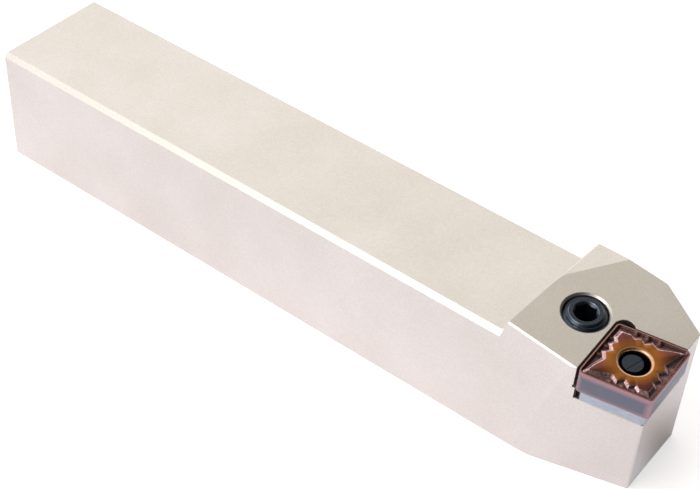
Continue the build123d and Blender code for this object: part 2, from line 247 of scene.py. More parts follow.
class Finish(ABC):
    """What the metal finishes share: a material of one shader, fed by a pattern."""

    name: str

    @abstractmethod
    def pattern(self, tree: bpy.types.NodeTree) -> dict:
        """Adds the finish's own pattern.

        Args:
            tree: The material's node tree.

        Returns:
            The shader's inputs.
        """

    def material(self) -> bpy.types.Material:
        """Makes the finish's material.

        Returns:
            The material.
        """
        material, tree = new_material(self.name)
        shader = add_node(tree, "BsdfPrincipled", self.pattern(tree))
        add_node(tree, "OutputMaterial", {"Surface": shader})
        return material


@dataclass(frozen=True)
class SatinNickel(Finish):
    """Electroless nickel over fine-blasted steel: warm, pale and evenly satin."""

    name: str = "satin_nickel_plate"
    pale: str = "#ece5dd"
    deep: str = "#dcd4ca"
    roughness: float = 0.4
    grain_size: float = 0.35  # the blast's own pits are finer and wouldn't show
    grain_height: float = 0.006
    cloud_size: float = 16.0  # slow drift of the plate's tone
    edge: float = 0.12  # radius of a broken edge
    edge_roughness: float = 0.15  # edges come out of the blasting burnished
    edge_turn: float = 0.93  # cosine, to the flat face, at which the burnish is full

    def pattern(self, tree: bpy.types.NodeTree) -> dict:
        """Adds the blasted grain, the plate's drifting tone and its burnished edges.

        Args:
            tree: The material's node tree.

        Returns:
            The shader's inputs.
        """
        place = add_node(tree, "TexCoord").outputs["Object"]
        grain = add_node(
            tree,
            "TexNoise",
            {"Vector": place, "Scale": 1 / (self.grain_size * MM), "Detail": 2.0},
        )
        cloud = add_node(
            tree,
            "TexNoise",
            {"Vector": place, "Scale": 1 / (self.cloud_size * MM), "Detail": 3.0},
        )
        tone = add_node(tree, "Mix", {"Factor": 0.5, "A": grain, "B": cloud})
        stops = [(NOISE_LOW, self.deep), (NOISE_HIGH, self.pale)]
        edge = add_node(tree, "Bevel", {"Radius": self.edge * MM})
        face = add_node(tree, "NewGeometry").outputs["Normal"]
        flat = add_node(tree, "VectorMath", {0: edge, 1: face}, operation="DOT_PRODUCT")
        roughness = add_node(
            tree,
            "MapRange",
            {
                "Value": flat.outputs["Value"],
                "From Min": self.edge_turn,
                "From Max": 1.0,
                "To Min": self.edge_roughness,
                "To Max": self.roughness,
            },
        )
        height = self.grain_height * MM
        return {
            "Base Color": add_node(tree, "ValToRGB", {"Fac": tone}, stops),
            "Metallic": 1.0,
            "Roughness": roughness,
            "Normal": add_node(
                tree, "Bump", {"Height": grain, "Distance": height, "Normal": edge}
            ),
        }


@dataclass(frozen=True)
class Rhombus:
    """The insert's rhombic outline, as shares of the way out from its middle."""

    axes: Axes
    sharp_angle: float
    inscribed: float

    def shares(
        self, tree: bpy.types.NodeTree
    ) -> tuple[bpy.types.Node, bpy.types.Node]:
        """Adds the nodes that measure a point against the two pairs of sides.

        Args:
            tree: The material's node tree.

        Returns:
            For each pair of sides, a node that gives 0 in the middle and 1 on them.
        """
        place = self.axes.coordinates(tree)
        angle = math.radians(self.sharp_angle)
        shares = []
        for normal in ((0, 1, 0), (math.sin(angle), -math.cos(angle), 0)):
            reach = add_node(
                tree, "VectorMath", {0: place, 1: normal}, operation="DOT_PRODUCT"
            )
            share = add_node(
                tree,
                "Math",
                {0: reach.outputs["Value"], 1: 2 / self.inscribed},
                operation="MULTIPLY",
            )
            shares.append(add_node(tree, "Math", {0: share}, operation="ABSOLUTE"))
        return shares[0], shares[1]


@dataclass(frozen=True)
class BronzeFace(Finish):
    """Vapour-deposited coating on the pressed middle: golden, plum at the corners."""

    outline: Rhombus
    name: str = "bronze_coating_on_raised_face"
    stops: Stops = (
        (0.24, "#b07232"),
        (0.40, "#aa6a35"),
        (0.50, "#965a3a"),
        (0.60, "#7a4a3e"),
        (0.72, "#714840"),
    )
    roughness: float = 0.24
    speckle_size: float = 0.3  # pressing grain, drawn coarser than the real 0.05
    speckle_share: float = 0.09  # how far the grain shifts the tone
    speckle_height: float = 0.004

    def pattern(self, tree: bpy.types.NodeTree) -> dict:
        """Adds the tone that drifts from the hole to the corners, and the grain.

        Args:
            tree: The material's node tree.

        Returns:
            The shader's inputs.
        """
        one, other = self.outline.shares(tree)
        both = add_node(tree, "Math", {0: one, 1: other}, operation="ADD")
        place = self.outline.axes.coordinates(tree)
        speckle = add_node(
            tree,
            "TexNoise",
            {"Vector": place, "Scale": 1 / self.speckle_size, "Detail": 3.0},
        )
        shift = add_node(
            tree, "Math", {0: speckle, 1: NOISE_MIDDLE}, operation="SUBTRACT"
        )
        shifted = add_node(
            tree,
            "Math",
            {0: shift, 1: 2 * self.speckle_share, 2: both},
            operation="MULTIPLY_ADD",
        )
        mean = add_node(tree, "Math", {0: shifted, 1: 1 / 2}, operation="MULTIPLY")
        height = self.speckle_height * MM
        return {
            "Base Color": add_node(tree, "ValToRGB", {"Fac": mean}, self.stops),
            "Metallic": 1.0,
            "Roughness": self.roughness,
            "Normal": add_node(tree, "Bump", {"Height": speckle, "Distance": height}),
        }


@dataclass(frozen=True)
class CoatedFlank(Finish):
    """The same coating on the ground sides: slate, fading to rose at every edge.

    Shares are of the way out from the insert's middle to its sides.
    """

    outline: Rhombus
    thickness: float
    name: str = "rose_edged_coating_on_flank"
    slate: str = "#72727c"
    rose: str = "#a9888c"
    border: float = 0.75  # width of the rose edge
    lift: float = 0.3  # how much wider it is along the top edge than along the foot
    fade: float = 0.06  # share over which the rose starts, inside its border
    full: float = 1.03  # share at which the colour is all rose
    streak: float = 0.35  # width of the faint grinding streaks, along the edges
    stretch: Triple = (0.12, 0.12, 1.0)
    wander: float = 0.08  # share by which the streaks shift the border
    roughness: float = 0.34

    def pattern(self, tree: bpy.types.NodeTree) -> dict:
        """Adds the rose border, which the grinding streaks shift a little.

        Args:
            tree: The material's node tree.

        Returns:
            The shader's inputs.
        """
        one, other = self.outline.shares(tree)
        far = add_node(tree, "Math", {0: one, 1: other}, operation="MINIMUM")
        place = self.outline.axes.coordinates(tree)
        height = add_node(tree, "SeparateXYZ", {"Vector": place}).outputs["Z"]
        half = self.outline.inscribed / 2
        raised = add_node(tree, "Math", {0: height, 1: self.lift}, operation="ADD")
        depth = add_node(tree, "Math", {0: raised}, operation="ABSOLUTE")
        rise = add_node(
            tree,
            "Math",
            {0: depth, 1: 1 / half, 2: 1 - self.thickness / 2 / half},
            operation="MULTIPLY_ADD",
        )
        reach = add_node(tree, "Math", {0: rise, 1: far}, operation="MAXIMUM")
        drawn = add_node(tree, "Mapping", {"Vector": place, "Scale": self.stretch})
        streaks = add_node(
            tree, "TexNoise", {"Vector": drawn, "Scale": 1 / self.streak, "Detail": 3.0}
        )
        wander = add_node(
            tree,
            "Math",
            {0: streaks, 1: self.wander, 2: reach},
            operation="MULTIPLY_ADD",
        )
        inner = 1 + self.wander / 2 - self.border / half - self.fade
        stops = [(inner, self.slate), (self.full, self.rose)]
        return {
            "Base Color": add_node(tree, "ValToRGB", {"Fac": wander}, stops),
            "Metallic": 1.0,
            "Roughness": self.roughness,
        }


@dataclass(frozen=True)
class PlainMetal(Finish):
    """A metal finish with fine streaks or mottle along its own axes."""

    name: str
    light: str
    dark: str
    roughness: float
    metallic: float = 1.0
    mark_size: float = 0.3  # coarser than the real marks, which wouldn't show
    stretch: Triple = (1.0, 1.0, 1.0)  # under 1 draws marks out
    mark_height: float = 0.003
    edge: float = 0.05  # radius of a broken edge

    def pattern(self, tree: bpy.types.NodeTree) -> dict:
        """Adds the streaks or mottle, and the broken edges.

        Args:
            tree: The material's node tree.

        Returns:
            The shader's inputs.
        """
        place = add_node(tree, "TexCoord").outputs["Object"]
        drawn = add_node(tree, "Mapping", {"Vector": place, "Scale": self.stretch})
        marks = add_node(
            tree,
            "TexNoise",
            {"Vector": drawn, "Scale": 1 / (self.mark_size * MM), "Detail": 3.0},
        )
        stops = [(NOISE_LOW, self.dark), (NOISE_HIGH, self.light)]
        edge = add_node(tree, "Bevel", {"Radius": self.edge * MM})
        height = self.mark_height * MM
        return {
            "Base Color": add_node(tree, "ValToRGB", {"Fac": marks}, stops),
            "Metallic": self.metallic,
            "Roughness": self.roughness,
            "Normal": add_node(
                tree, "Bump", {"Height": marks, "Distance": height, "Normal": edge}
            ),
        }


# Ground bare carbide: even blue-grey, with fine wheel marks along the shim.
GROUND_CARBIDE = PlainMetal(
    "ground_bare_carbide", "#bcc2c9", "#a8aeb7", 0.38, stretch=(0.2, 0.2, 1.0)
)
# The vapour-deposited coating on the insert's pressed forms, coloured by its thickness:
# copper on the honed edge, plum in the groove, darkened there as painted shade, rose on
# the glossy walls, peach on the hole's rim, bronze on the small pyramids, and nearly
# black down the hole as painted shade.
EDGE_COATING = PlainMetal("copper_coating_on_edge", "#bb8a80", "#a8766e", 0.28)
# Plum coating, drawn darker in the groove as painted shade of the recess.
GROOVE_COATING_WITH_PAINTED_SHADE = PlainMetal("plum_coating_with_painted_shade_in_groove", "#6e5252", "#5c4344", 0.22)
WALL_COATING = PlainMetal(
    "rose_coating_on_walls", "#eed0d6", "#9c645c", 0.14, mark_size=0.35
)
RIM_COATING = PlainMetal("peach_coating_on_hole_rim", "#e6b994", "#d8a883", 0.26)
PYRAMID_COATING = PlainMetal("bronze_coating_on_pyramids", "#a1694c", "#79503f", 0.2)
# Painted shade: the hole's coating is drawn nearly black for the shade down the bore.
HOLE_COATING_WITH_PAINTED_SHADE = PlainMetal("coating_with_painted_shade_in_hole", "#3c3635", "#2e2a2a", 0.4)
# Black oxide rubbed through to grey steel on the screw's top edges, drawn pale as a painted
# highlight on their rounds.
WORN_EDGE_WITH_PAINTED_HIGHLIGHT = PlainMetal("worn_oxide_edge_with_painted_highlight", "#84888b", "#6b6f73", 0.3)
# Oiled black oxide on machined steel: dark blue-grey and glossy.
BLACK_OXIDE = PlainMetal(
    "oiled_black_oxide", "#4a535e", "#3b434d", 0.2, metallic=0.9, mark_size=0.25
)
# Rolled spring steel: plain mid grey.
SPRING_STEEL = PlainMetal("rolled_spring_steel", "#8d8f92", "#7c7e82", 0.35)


# ---- meshes ---------------------------------------------------------------------


def quarter_round(steps: int) -> list[tuple[float, float]]:
    """Shares of an edge's radius, along and across, at each step of its round."""
    turns = [math.radians(90 * (k + 1) / steps) for k in range(steps)]
    return [(math.sin(turn), 1 - math.cos(turn)) for turn in turns]


def grow_rings(
    bm: bmesh.types.BMesh, count: int, rings: Sequence[tuple[int, RingPlace]]
) -> list[bmesh.types.BMEdge]:
    """Starts a circle and extrudes its edge, putting each new ring in its place.

    Args:
        bm: The mesh that takes the rings.
        count: Vertices round a ring.
        rings: For each ring, the material of the faces that lead to it, and where its
            vertex of a given number goes.

    Returns:
        The last ring's edges.
    """
    number = bm.verts.layers.int.new("number")
    circle = bmesh.ops.create_circle(bm, cap_ends=False, segments=count, radius=1.0)
    for index, vert in enumerate(circle["verts"]):
        vert[number] = index
        vert.co = rings[0][1](index)
    edges = bm.edges[:]
    for material, place in rings[1:]:
        grown = bmesh.ops.extrude_edge_only(bm, edges=edges)["geom"]
        edges = [item for item in grown if isinstance(item, bmesh.types.BMEdge)]
        for item in grown:
            if isinstance(item, bmesh.types.BMVert):
                item.co = place(item[number])
            elif isinstance(item, bmesh.types.BMFace):
                item.material_index = material
        edges = [edge for edge in edges if edge.is_boundary]
    return edges


def finished_piece(
    bm: bmesh.types.BMesh,
    name: str,
    place: Matrix,
    materials: list[bpy.types.Material],
    crease: float,
) -> bpy.types.Object:
    """Turns a mesh into a finished object at the origin, its place in its mesh.

    Args:
        bm: The mesh, in the piece's own millimetres. It is freed.
        name: The piece's name.
        place: Matrix from those millimetres to the shared frame.
        materials: The piece's materials, in slot order.
        crease: Degrees between faces past which an edge stays sharp.

    Returns:
        The new object.
    """
    bmesh.ops.transform(bm, matrix=place, verts=bm.verts[:])
    bmesh.ops.recalc_face_normals(bm, faces=bm.faces[:])
    for face in bm.faces:
        face.smooth = True
    for edge in bm.edges:
        if edge.calc_face_angle(0.0) > math.radians(crease):
            edge.smooth = False
    mesh = bpy.data.meshes.new(name)
    bm.to_mesh(mesh)
    bm.free()
    for material in materials:
        mesh.materials.append(material)
    piece = bpy.data.objects.new(name, mesh)
    bpy.context.scene.collection.objects.link(piece)
    return piece


def dressed_node(name: str, finish: Finish) -> bpy.types.Object:
    """Puts a finish on a CAD node, which keeps its shape.

    Args:
        name: The node's name.
        finish: The finish that it gets.

    Returns:
        The node's object.
    """
    node = frame["nodes"][name]
    node.data.materials.clear()
    node.data.materials.append(finish.material())
    return node


# ---- sub-assemblies -------------------------------------------------------------


@dataclass
class HolderBody:
    """The milled and plated holder body, a CAD node that keeps its shape."""

    finish: SatinNickel = SatinNickel()

    def dress(self) -> bpy.types.Object:
        """Puts the plate on the body."""
        return dressed_node("holder_body", self.finish)


class Band(Enum):
    """Bands of the insert's surface, numbered as its materials are."""

    FLANK = 0
    EDGE = 1
    GROOVE = 2
    WALL = 3
    FACE = 4
    RIM = 5
    HOLE = 6
    PYRAMID = 7


@dataclass(frozen=True)
class Station:
    """Where one vertex of every ring stands round the insert's outline."""

    side: int
    along: float  # from the side's middle towards its blunt corner
    turned: float | None = None  # share of the way round the side's first corner


@dataclass
class Insert:
    """The pressed rhombic insert, with a notched chip breaker on both faces.

    Insets are measured in from the cutting edge, and depths down from the top face. The
    land is the flat strip behind the edge, and some widths are counted in lands.
    """

    axes: Axes
    inscribed: float = 12.7
    thickness: float = 4.76
    sharp_angle: float = 80.0
    corner_radius: float = 0.8
    least_round: float = 0.25  # share of that radius that every inset outline keeps
    hone: float = 0.06
    hone_rings: int = 3
    land: float = 0.22
    groove_depth: float = 0.36
    groove_slope: float = 2.4  # in lands, from the land to the groove's full depth
    groove_rings: int = 7
    wall_width: float = 0.7  # from the raised face's rim out to the groove's floor
    least_foot: float = 2.2  # in lands, the least inset of the wall's foot
    # The wall from its foot to its rim: shares of its width and of its height.
    wall_profile: Pairs = ((0.12, 0.06), (0.45, 0.56), (0.78, 0.9), (1.0, 1.0))
    hole: float = 5.16
    hole_round: float = 0.55
    hole_rings: int = 6
    spacing: float = 0.24  # between stations along a side
    per_corner: int = 6
    # The raised face's rim: along each side, and in from the cutting edge.
    notches: Pairs = (
        (-5.3, 1.25),
        (-1.2, 2.3),
        (-0.1, 1.5),
        (0.95, 2.4),
        (1.95, 1.5),
        (2.9, 2.1),
        (3.75, 1.5),
        (5.3, 1.6),
    )
    # Stretch of a side on which a station's inset points lie straight in from it.
    kept: tuple[float, float] = (-2.0, 3.3)
    # Small pyramids in front of the notches: along the side, and how far in they reach.
    pyramids: Pairs = ((-1.2, 1.5), (0.95, 1.6), (2.9, 1.3))
    pyramid_half_width: float = 0.5
    pyramid_top: float = 0.04
    pyramid_foot: float = 0.72  # share of the groove's depth where its coating starts
    pyramid_inset: float = 3.0  # in lands, the least inset of that coating
    crease: float = 30.0  # degrees between faces past which an edge stays sharp
    corners: list[Vector] = field(init=False)
    stations: list[Station] = field(init=False)

    def __post_init__(self) -> None:
        """Sets out the corners and the stations round the outline."""
        side = self.inscribed / math.sin(math.radians(self.sharp_angle))
        lean = side * math.cos(math.radians(self.sharp_angle))
        near, far = (side - lean) / 2, (side + lean) / 2
        half = self.inscribed / 2
        self.corners = [
            Vector((near, -half, 0)),
            Vector((far, half, 0)),
            Vector((-near, half, 0)),
            Vector((-far, -half, 0)),
        ]
        sharp, blunt = (
            side / 2 - self.corner_radius / math.tan(math.radians(angle) / 2)
            for angle in (self.sharp_angle, 180 - self.sharp_angle)
        )
        self.stations = self.set_out(-sharp, blunt)

    def set_out(self, low: float, high: float) -> list[Station]:
        """Sets out the stations, one at each corner of a notch and evenly between.

        Args:
            low: Where a side's straight part ends at its sharp corner.
            high: Where it ends at its blunt corner.

        Returns:
            The stations in order round the outline.
        """
        marks = sorted({low, high, *(place for place, _ in self.notches)})
        stations = []
        for side in range(4):
            sign = self.sign(side)
            runs = sorted(sign * mark for mark in marks)
            stations += [
                Station(side, sign * runs[0], k / self.per_corner)
                for k in range(self.per_corner)
            ]
            for start, end in zip(runs, runs[1:]):
                parts = max(1, round((end - start) / self.spacing))
                stations += [
                    Station(side, sign * (start + (end - start) * k / parts))
                    for k in range(parts)
                ]
        return stations

    def sign(self, side: int) -> int:
        """Whether a side runs towards its blunt corner (1) or away from it (-1)."""
        return -1 if side % 2 == 0 else 1

    def on_outline(self, inset: float, depth: float, index: int) -> Vector:
        """Place of a ring's vertex at a distance in from the cutting edge.

        Args:
            inset: Distance in from the edge.
            depth: Depth below the top face.
            index: The vertex's number.

        Returns:
            The place in the insert's own axes.
        """
        station = self.stations[index]
        if station.turned is None:
            place = self.side_point(station, inset)
        else:
            place = self.corner_point(station.side, inset, station.turned)
        return place + Vector((0, 0, self.thickness / 2 - depth))

    def side_point(self, station: Station, inset: float) -> Vector:
        """Point on an inset side, straight in from its station except near the corners.

        Args:
            station: The vertex's station.
            inset: Distance in from the edge.

        Returns:
            The point.
        """
        side, sign = station.side, self.sign(station.side)
        after = (side + 1) % 4
        middle = (self.corners[side] + self.corners[after]) / 2
        forward = (self.corners[after] - self.corners[side]).normalized()
        first, last = (
            (self.corner_point(number, 0.0, turned) - middle).dot(forward)
            for number, turned in ((side, 1.0), (after, 0.0))
        )
        start = self.corner_point(side, inset, 1.0)
        low = (start - middle).dot(forward)
        high = (self.corner_point(after, inset, 0.0) - middle).dot(forward)
        near, far = sorted(sign * place for place in self.kept)
        run = sign * station.along
        if run < near:
            run = low + (run - first) * (near - low) / (near - first)
        elif run > far:
            run = far + (run - far) * (high - far) / (last - far)
        return start + forward * (run - low)

    def corner_point(self, number: int, inset: float, share: float) -> Vector:
        """Point on the round of an inset outline's corner.

        Args:
            number: The corner's number.
            inset: How far the outline is inset.
            share: Share of the way round, from the side before to the side after.

        Returns:
            The point.
        """
        corner = self.corners[number]
        back = (self.corners[number - 1] - corner).normalized()
        ahead = (self.corners[(number + 1) % 4] - corner).normalized()
        half_angle = back.angle(ahead) / 2
        inward = (back + ahead).normalized()
        radius = max(self.corner_radius - inset, self.corner_radius * self.least_round)
        centre = corner + inward * ((inset + radius) / math.sin(half_angle))
        sweep = math.pi - 2 * half_angle
        turn = Matrix.Rotation((share - 0.5) * sweep, 3, "Z")
        return centre - turn @ inward * radius

    def rim_inset(self, along: float) -> float:
        """Works out how far in the raised face's rim lies.

        Args:
            along: Place along the side.

        Returns:
            The rim's inset.
        """
        points = self.notches
        if along <= points[0][0]:
            return points[0][1]
        for (start, low), (end, high) in zip(points, points[1:]):
            if along <= end:
                return low + (high - low) * (along - start) / (end - start)
        return points[-1][1]

    def foot_inset(self, along: float) -> float:
        """How far in the foot of the raised face's wall lies."""
        return max(self.rim_inset(along) - self.wall_width, self.land * self.least_foot)

    def depth_at(self, along: float, inset: float) -> float:
        """Depth of the groove, with the pyramids that stand in it.

        Args:
            along: Place along the side.
            inset: Distance in from the cutting edge.

        Returns:
            Depth below the top face.
        """
        slope = min(1.0, (inset - self.land) / (self.groove_slope * self.land))
        depth = self.groove_depth * math.sin(slope * math.pi / 2)
        for place, reach in self.pyramids:
            aside = abs(along - place) / self.pyramid_half_width
            out = (inset - self.land) / (reach - self.land)
            depth = min(depth, self.pyramid_top + self.groove_depth * max(aside, out))
        return depth

    def groove_point(self, share: float, index: int) -> Vector:
        """Place of a ring's vertex in the groove.

        Args:
            share: Share of the way from the land to the wall's foot.
            index: The vertex's number.

        Returns:
            The place.
        """
        along = self.stations[index].along
        inset = self.land + (self.foot_inset(along) - self.land) * share
        return self.on_outline(inset, self.depth_at(along, inset), index)

    def wall_point(self, share: float, rise: float, index: int) -> Vector:
        """Place of a ring's vertex on the raised face's wall.

        Args:
            share: Share of the way from the wall's foot to its rim.
            rise: Share of the wall's height.
            index: The vertex's number.

        Returns:
            The place.
        """
        along = self.stations[index].along
        foot = self.foot_inset(along)
        inset = foot + (self.rim_inset(along) - foot) * share
        return self.on_outline(inset, self.depth_at(along, foot) * (1 - rise), index)

    def hole_point(self, radius: float, depth: float, index: int) -> Vector:
        """Place of a ring's vertex round the hole, in line with the outline's.

        Args:
            radius: The ring's radius.
            depth: Depth below the top face.
            index: The vertex's number.

        Returns:
            The place.
        """
        outer = self.on_outline(0.0, depth, index)
        flat = outer.xy.normalized() * radius
        return Vector((flat.x, flat.y, outer.z))

    def rings(self) -> list[tuple[int, RingPlace]]:
        """Lists the rings from the flank's middle, over the top face, to the hole's.

        Returns:
            For each ring, its band's number and where its vertices go.
        """
        hone, middle = self.hone, self.thickness / 2
        edge, outer = self.hole_round, self.hole / 2 + self.hole_round
        rows = [
            (Band.FLANK, self.on_outline, 0.0, middle),
            (Band.FLANK, self.on_outline, 0.0, hone),
        ]
        rows += [
            (Band.EDGE, self.on_outline, hone * across, hone * (1 - along))
            for along, across in quarter_round(self.hone_rings)
        ]
        rows += [(Band.EDGE, self.groove_point, 0.0)]
        rows += [
            (Band.GROOVE, self.groove_point, (k + 1) / self.groove_rings)
            for k in range(self.groove_rings)
        ]
        rows += [(Band.WALL, self.wall_point, *step) for step in self.wall_profile]
        rows += [(Band.FACE, self.hole_point, outer, 0.0)]
        rows += [
            (Band.RIM, self.hole_point, outer - edge * along, edge * across)
            for along, across in quarter_round(self.hole_rings)
        ]
        rows += [(Band.HOLE, self.hole_point, self.hole / 2, middle)]
        return [(band.value, partial(place, *sizes)) for band, place, *sizes in rows]

    def mark_pyramids(self, bm: bmesh.types.BMesh) -> None:
        """Gives the groove's raised spots their own coating.

        Args:
            bm: The insert's mesh.
        """
        angle = math.radians(self.sharp_angle)
        normal = Vector((math.sin(angle), -math.cos(angle), 0))
        level = self.thickness / 2 - self.groove_depth * self.pyramid_foot
        for face in bm.faces:
            middle = face.calc_center_median()
            reach = max(abs(middle.y), abs(middle.dot(normal)))
            inset = self.inscribed / 2 - reach
            raised = abs(middle.z) > level and inset > self.land * self.pyramid_inset
            if face.material_index == Band.GROOVE.value and raised:
                face.material_index = Band.PYRAMID.value

    def build(self) -> bpy.types.Object:
        """Builds the insert's upper half, mirrors it and puts it on its body.

        Returns:
            The insert.
        """
        bm = bmesh.new()
        grow_rings(bm, len(self.stations), self.rings())
        half = bm.verts[:] + bm.edges[:] + bm.faces[:]
        bmesh.ops.mirror(bm, geom=half, axis="Z", merge_dist=SAME_PLACE)
        self.mark_pyramids(bm)
        outline = Rhombus(self.axes, self.sharp_angle, self.inscribed)
        finishes = {
            Band.FLANK: CoatedFlank(outline, self.thickness),
            Band.EDGE: EDGE_COATING,
            Band.GROOVE: GROOVE_COATING_WITH_PAINTED_SHADE,
            Band.WALL: WALL_COATING,
            Band.FACE: BronzeFace(outline),
            Band.RIM: RIM_COATING,
            Band.HOLE: HOLE_COATING_WITH_PAINTED_SHADE,
            Band.PYRAMID: PYRAMID_COATING,
        }
        materials = [finishes[band].material() for band in Band]
        piece = finished_piece(
            bm, "coated_insert", self.axes.place(), materials, self.crease
        )
        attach(piece, "insert")
        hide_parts("insert")
        return piece


class Oxide(Enum):
    """The screw's two finishes, numbered as its materials are."""

    WHOLE = 0
    WORN = 1


@dataclass
class ClampScrew:
    """The threaded clamp screw, black-oxided, with a hexagon socket.

    Widths across are diameters. Depths are below the screw's face, and the feet and the
    end are below the head's top, out of which the face stands proud.
    """

    axes: Axes
    thread: float = 7.88
    root: float = 6.75
    pitch: float = 1.0
    thread_steps: int = 12  # rings to each pitch
    flank_slope: float = 1.6  # of the thread's sides, over a plain zigzag's
    crest: float = 0.3  # how much of that zigzag is cut off for the flat crest
    proud: float = 0.3
    face: float = 5.9
    cone: float = 1.0  # height of the cone from the face out to the thread's crests
    face_round: float = 0.07
    mouth_round: float = 0.1
    shoulder: float = 0.42  # depth where the smooth cone gives way to the thread
    ledge: float = 0.12  # how far the thread's cone stands out past the smooth one
    thread_foot: float = 11.05
    thread_chamfer: float = 0.5
    neck: float = 4.6
    neck_foot: float = 15.31
    foot: float = 6.9
    end: float = 18.31
    foot_chamfer: float = 0.6
    hexagon: float = 3.5  # across the flats
    mouth: float = 4.25
    socket_depth: float = 6.0
    drill_point: float = 0.9
    around: int = 96
    crease: float = 24.0  # degrees between faces past which an edge stays sharp

    def round_point(self, radius: float, height: float, index: int) -> Vector:
        """Place of a vertex of a round ring about the screw's axis.

        Args:
            radius: The ring's radius.
            height: Height above the level of the head's top.
            index: The vertex's number.

        Returns:
            The place in the screw's own axes.
        """
        angle = FULL_TURN * index / self.around
        out = Vector((math.cos(angle), math.sin(angle), 0))
        return out * radius + Vector((0, 0, height))

    def socket_point(self, depth: float | None, index: int) -> Vector:
        """Place of a ring's vertex on the socket's flats.

        Args:
            depth: Depth below the screw's face, or None for the mouth cone's edge.
            index: The vertex's number.

        Returns:
            The place.
        """
        sixth = FULL_TURN / 6
        angle = (FULL_TURN * index / self.around) % sixth - sixth / 2
        radius = self.hexagon / 2 / math.cos(angle)
        cone = self.mouth / 2 - radius + self.mouth_round
        down = cone if depth is None else depth
        return self.round_point(radius, self.proud - down, index)

    def cone_radius(self, down: float) -> float:
        """Radius of the cone round the screw's face, at a depth below the face."""
        slope = (self.thread - self.face) / 2 / self.cone
        return self.face / 2 + slope * (down - self.face_round)

    def thread_point(self, height: float, index: int) -> Vector:
        """Place of a ring's vertex on the thread, a helix that the top cone cuts back.

        Args:
            height: Height above the level of the head's top.
            index: The vertex's number.

        Returns:
            The place.
        """
        phase = (height / self.pitch - index / self.around) % 1.0
        zigzag = abs(phase - 0.5) * 2
        wave = max(0.0, min(1.0, self.flank_slope * zigzag - self.crest))
        radius = self.root / 2 + (self.thread - self.root) / 2 * (1 - wave)
        cone = self.cone_radius(self.proud - height) + self.ledge
        return self.round_point(min(radius, cone), height, index)

    def rings(self) -> list[tuple[int, RingPlace]]:
        """Lists the rings from the socket's floor, over the face, to the screw's foot.

        Returns:
            For each ring, its finish's number and where its vertices go.
        """
        mouth, face, root = self.mouth / 2, self.face / 2, self.root / 2
        neck, foot = self.neck / 2, self.foot / 2
        top, runout = self.proud, self.thread_foot + self.thread_chamfer
        cone, shoulder = self.cone_radius(self.shoulder), top - self.shoulder
        step = self.pitch / self.thread_steps
        turns = range(1, int((self.thread_foot + shoulder) / step))
        rows = [
            (Oxide.WHOLE, self.socket_point, self.socket_depth),
            (Oxide.WHOLE, self.socket_point, None),
            (Oxide.WHOLE, self.round_point, mouth, top - self.mouth_round),
            # The rounds of the socket's mouth and of the face take the worn grey, a painted
            # highlight.
            (Oxide.WORN, self.round_point, mouth + self.mouth_round, top),
            (Oxide.WHOLE, self.round_point, face - self.face_round, top),
            (Oxide.WORN, self.round_point, face, top - self.face_round),
            (Oxide.WHOLE, self.round_point, cone, shoulder),
            (Oxide.WHOLE, self.round_point, cone + self.ledge, shoulder),
        ]
        rows += [(Oxide.WHOLE, self.thread_point, shoulder - k * step) for k in turns]
        shank = [
            (root, -self.thread_foot),
            (root - self.thread_chamfer, -runout),
            (neck, -runout),
            (neck, -self.neck_foot),
            (foot, -self.neck_foot),
            (foot, -self.end + self.foot_chamfer),
            (foot - self.foot_chamfer, -self.end),
        ]
        rows += [(Oxide.WHOLE, self.round_point, *row) for row in shank]
        return [(oxide.value, partial(place, *sizes)) for oxide, place, *sizes in rows]

    def build(self) -> bpy.types.Object:
        """Builds the screw and puts it on its body.

        Returns:
            The screw.
        """
        bm = bmesh.new()
        last = grow_rings(bm, self.around, self.rings())
        bmesh.ops.contextual_create(bm, geom=last)
        self.close_socket(bm)
        piece = finished_piece(
            bm,
            "threaded_clamp_screw",
            self.axes.place(),
            [BLACK_OXIDE.material(), WORN_EDGE_WITH_PAINTED_HIGHLIGHT.material()],
            self.crease,
        )
        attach(piece, "screw")
        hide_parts("clamp_screw")
        return piece

    def close_socket(self, bm: bmesh.types.BMesh) -> None:
        """Closes the socket's floor with the drill's point.

        Args:
            bm: The screw's mesh.
        """
        floor = self.proud - self.socket_depth
        edges = [
            edge
            for edge in bm.edges
            if edge.is_boundary
            and all(abs(vert.co.z - floor) < SAME_PLACE for vert in edge.verts)
        ]
        grown = bmesh.ops.extrude_edge_only(bm, edges=edges)["geom"]
        tip = [item for item in grown if isinstance(item, bmesh.types.BMVert)]
        for vert in tip:
            vert.co = Vector((0, 0, floor - self.drill_point))
        bmesh.ops.remove_doubles(bm, verts=tip, dist=SAME_PLACE)


@dataclass
class ClampParts:
    """The shim, its tubular pin and the lever, CAD nodes that keep their shape."""

    finishes: tuple[tuple[str, PlainMetal], ...] = (
        ("shim", GROUND_CARBIDE),
        ("shim_pin", SPRING_STEEL),
        ("lever", BLACK_OXIDE),
    )

    def dress(self) -> list[bpy.types.Object]:
        """Puts each node's finish on it."""
        return [dressed_node(name, finish) for name, finish in self.finishes]


# ---- stage ----------------------------------------------------------------------


@dataclass(frozen=True)
class Softbox:
    """A square area light, aimed at the middle of the object."""

    name: str
    heading: float  # degrees from +X, seen from above
    height: float  # degrees above the floor
    distance: float  # metres
    size: float  # metres
    watts: float

    def add(self, target: Vector) -> None:
        """Adds the light.

        Args:
            target: Point that it is aimed at, in metres.
        """
        light = bpy.data.lights.new(self.name, "AREA")
        light.size = self.size
        light.energy = self.watts
        box = bpy.data.objects.new(self.name, light)
        heading, height = math.radians(self.heading), math.radians(self.height)
        out = Vector(
            (
                math.cos(heading) * math.cos(height),
                math.sin(heading) * math.cos(height),
                math.sin(height),
            )
        )
        box.location = target + out * self.distance
        box.rotation_euler = (-out).to_track_quat("-Z", "Y").to_euler()
        bpy.context.scene.collection.objects.link(box)


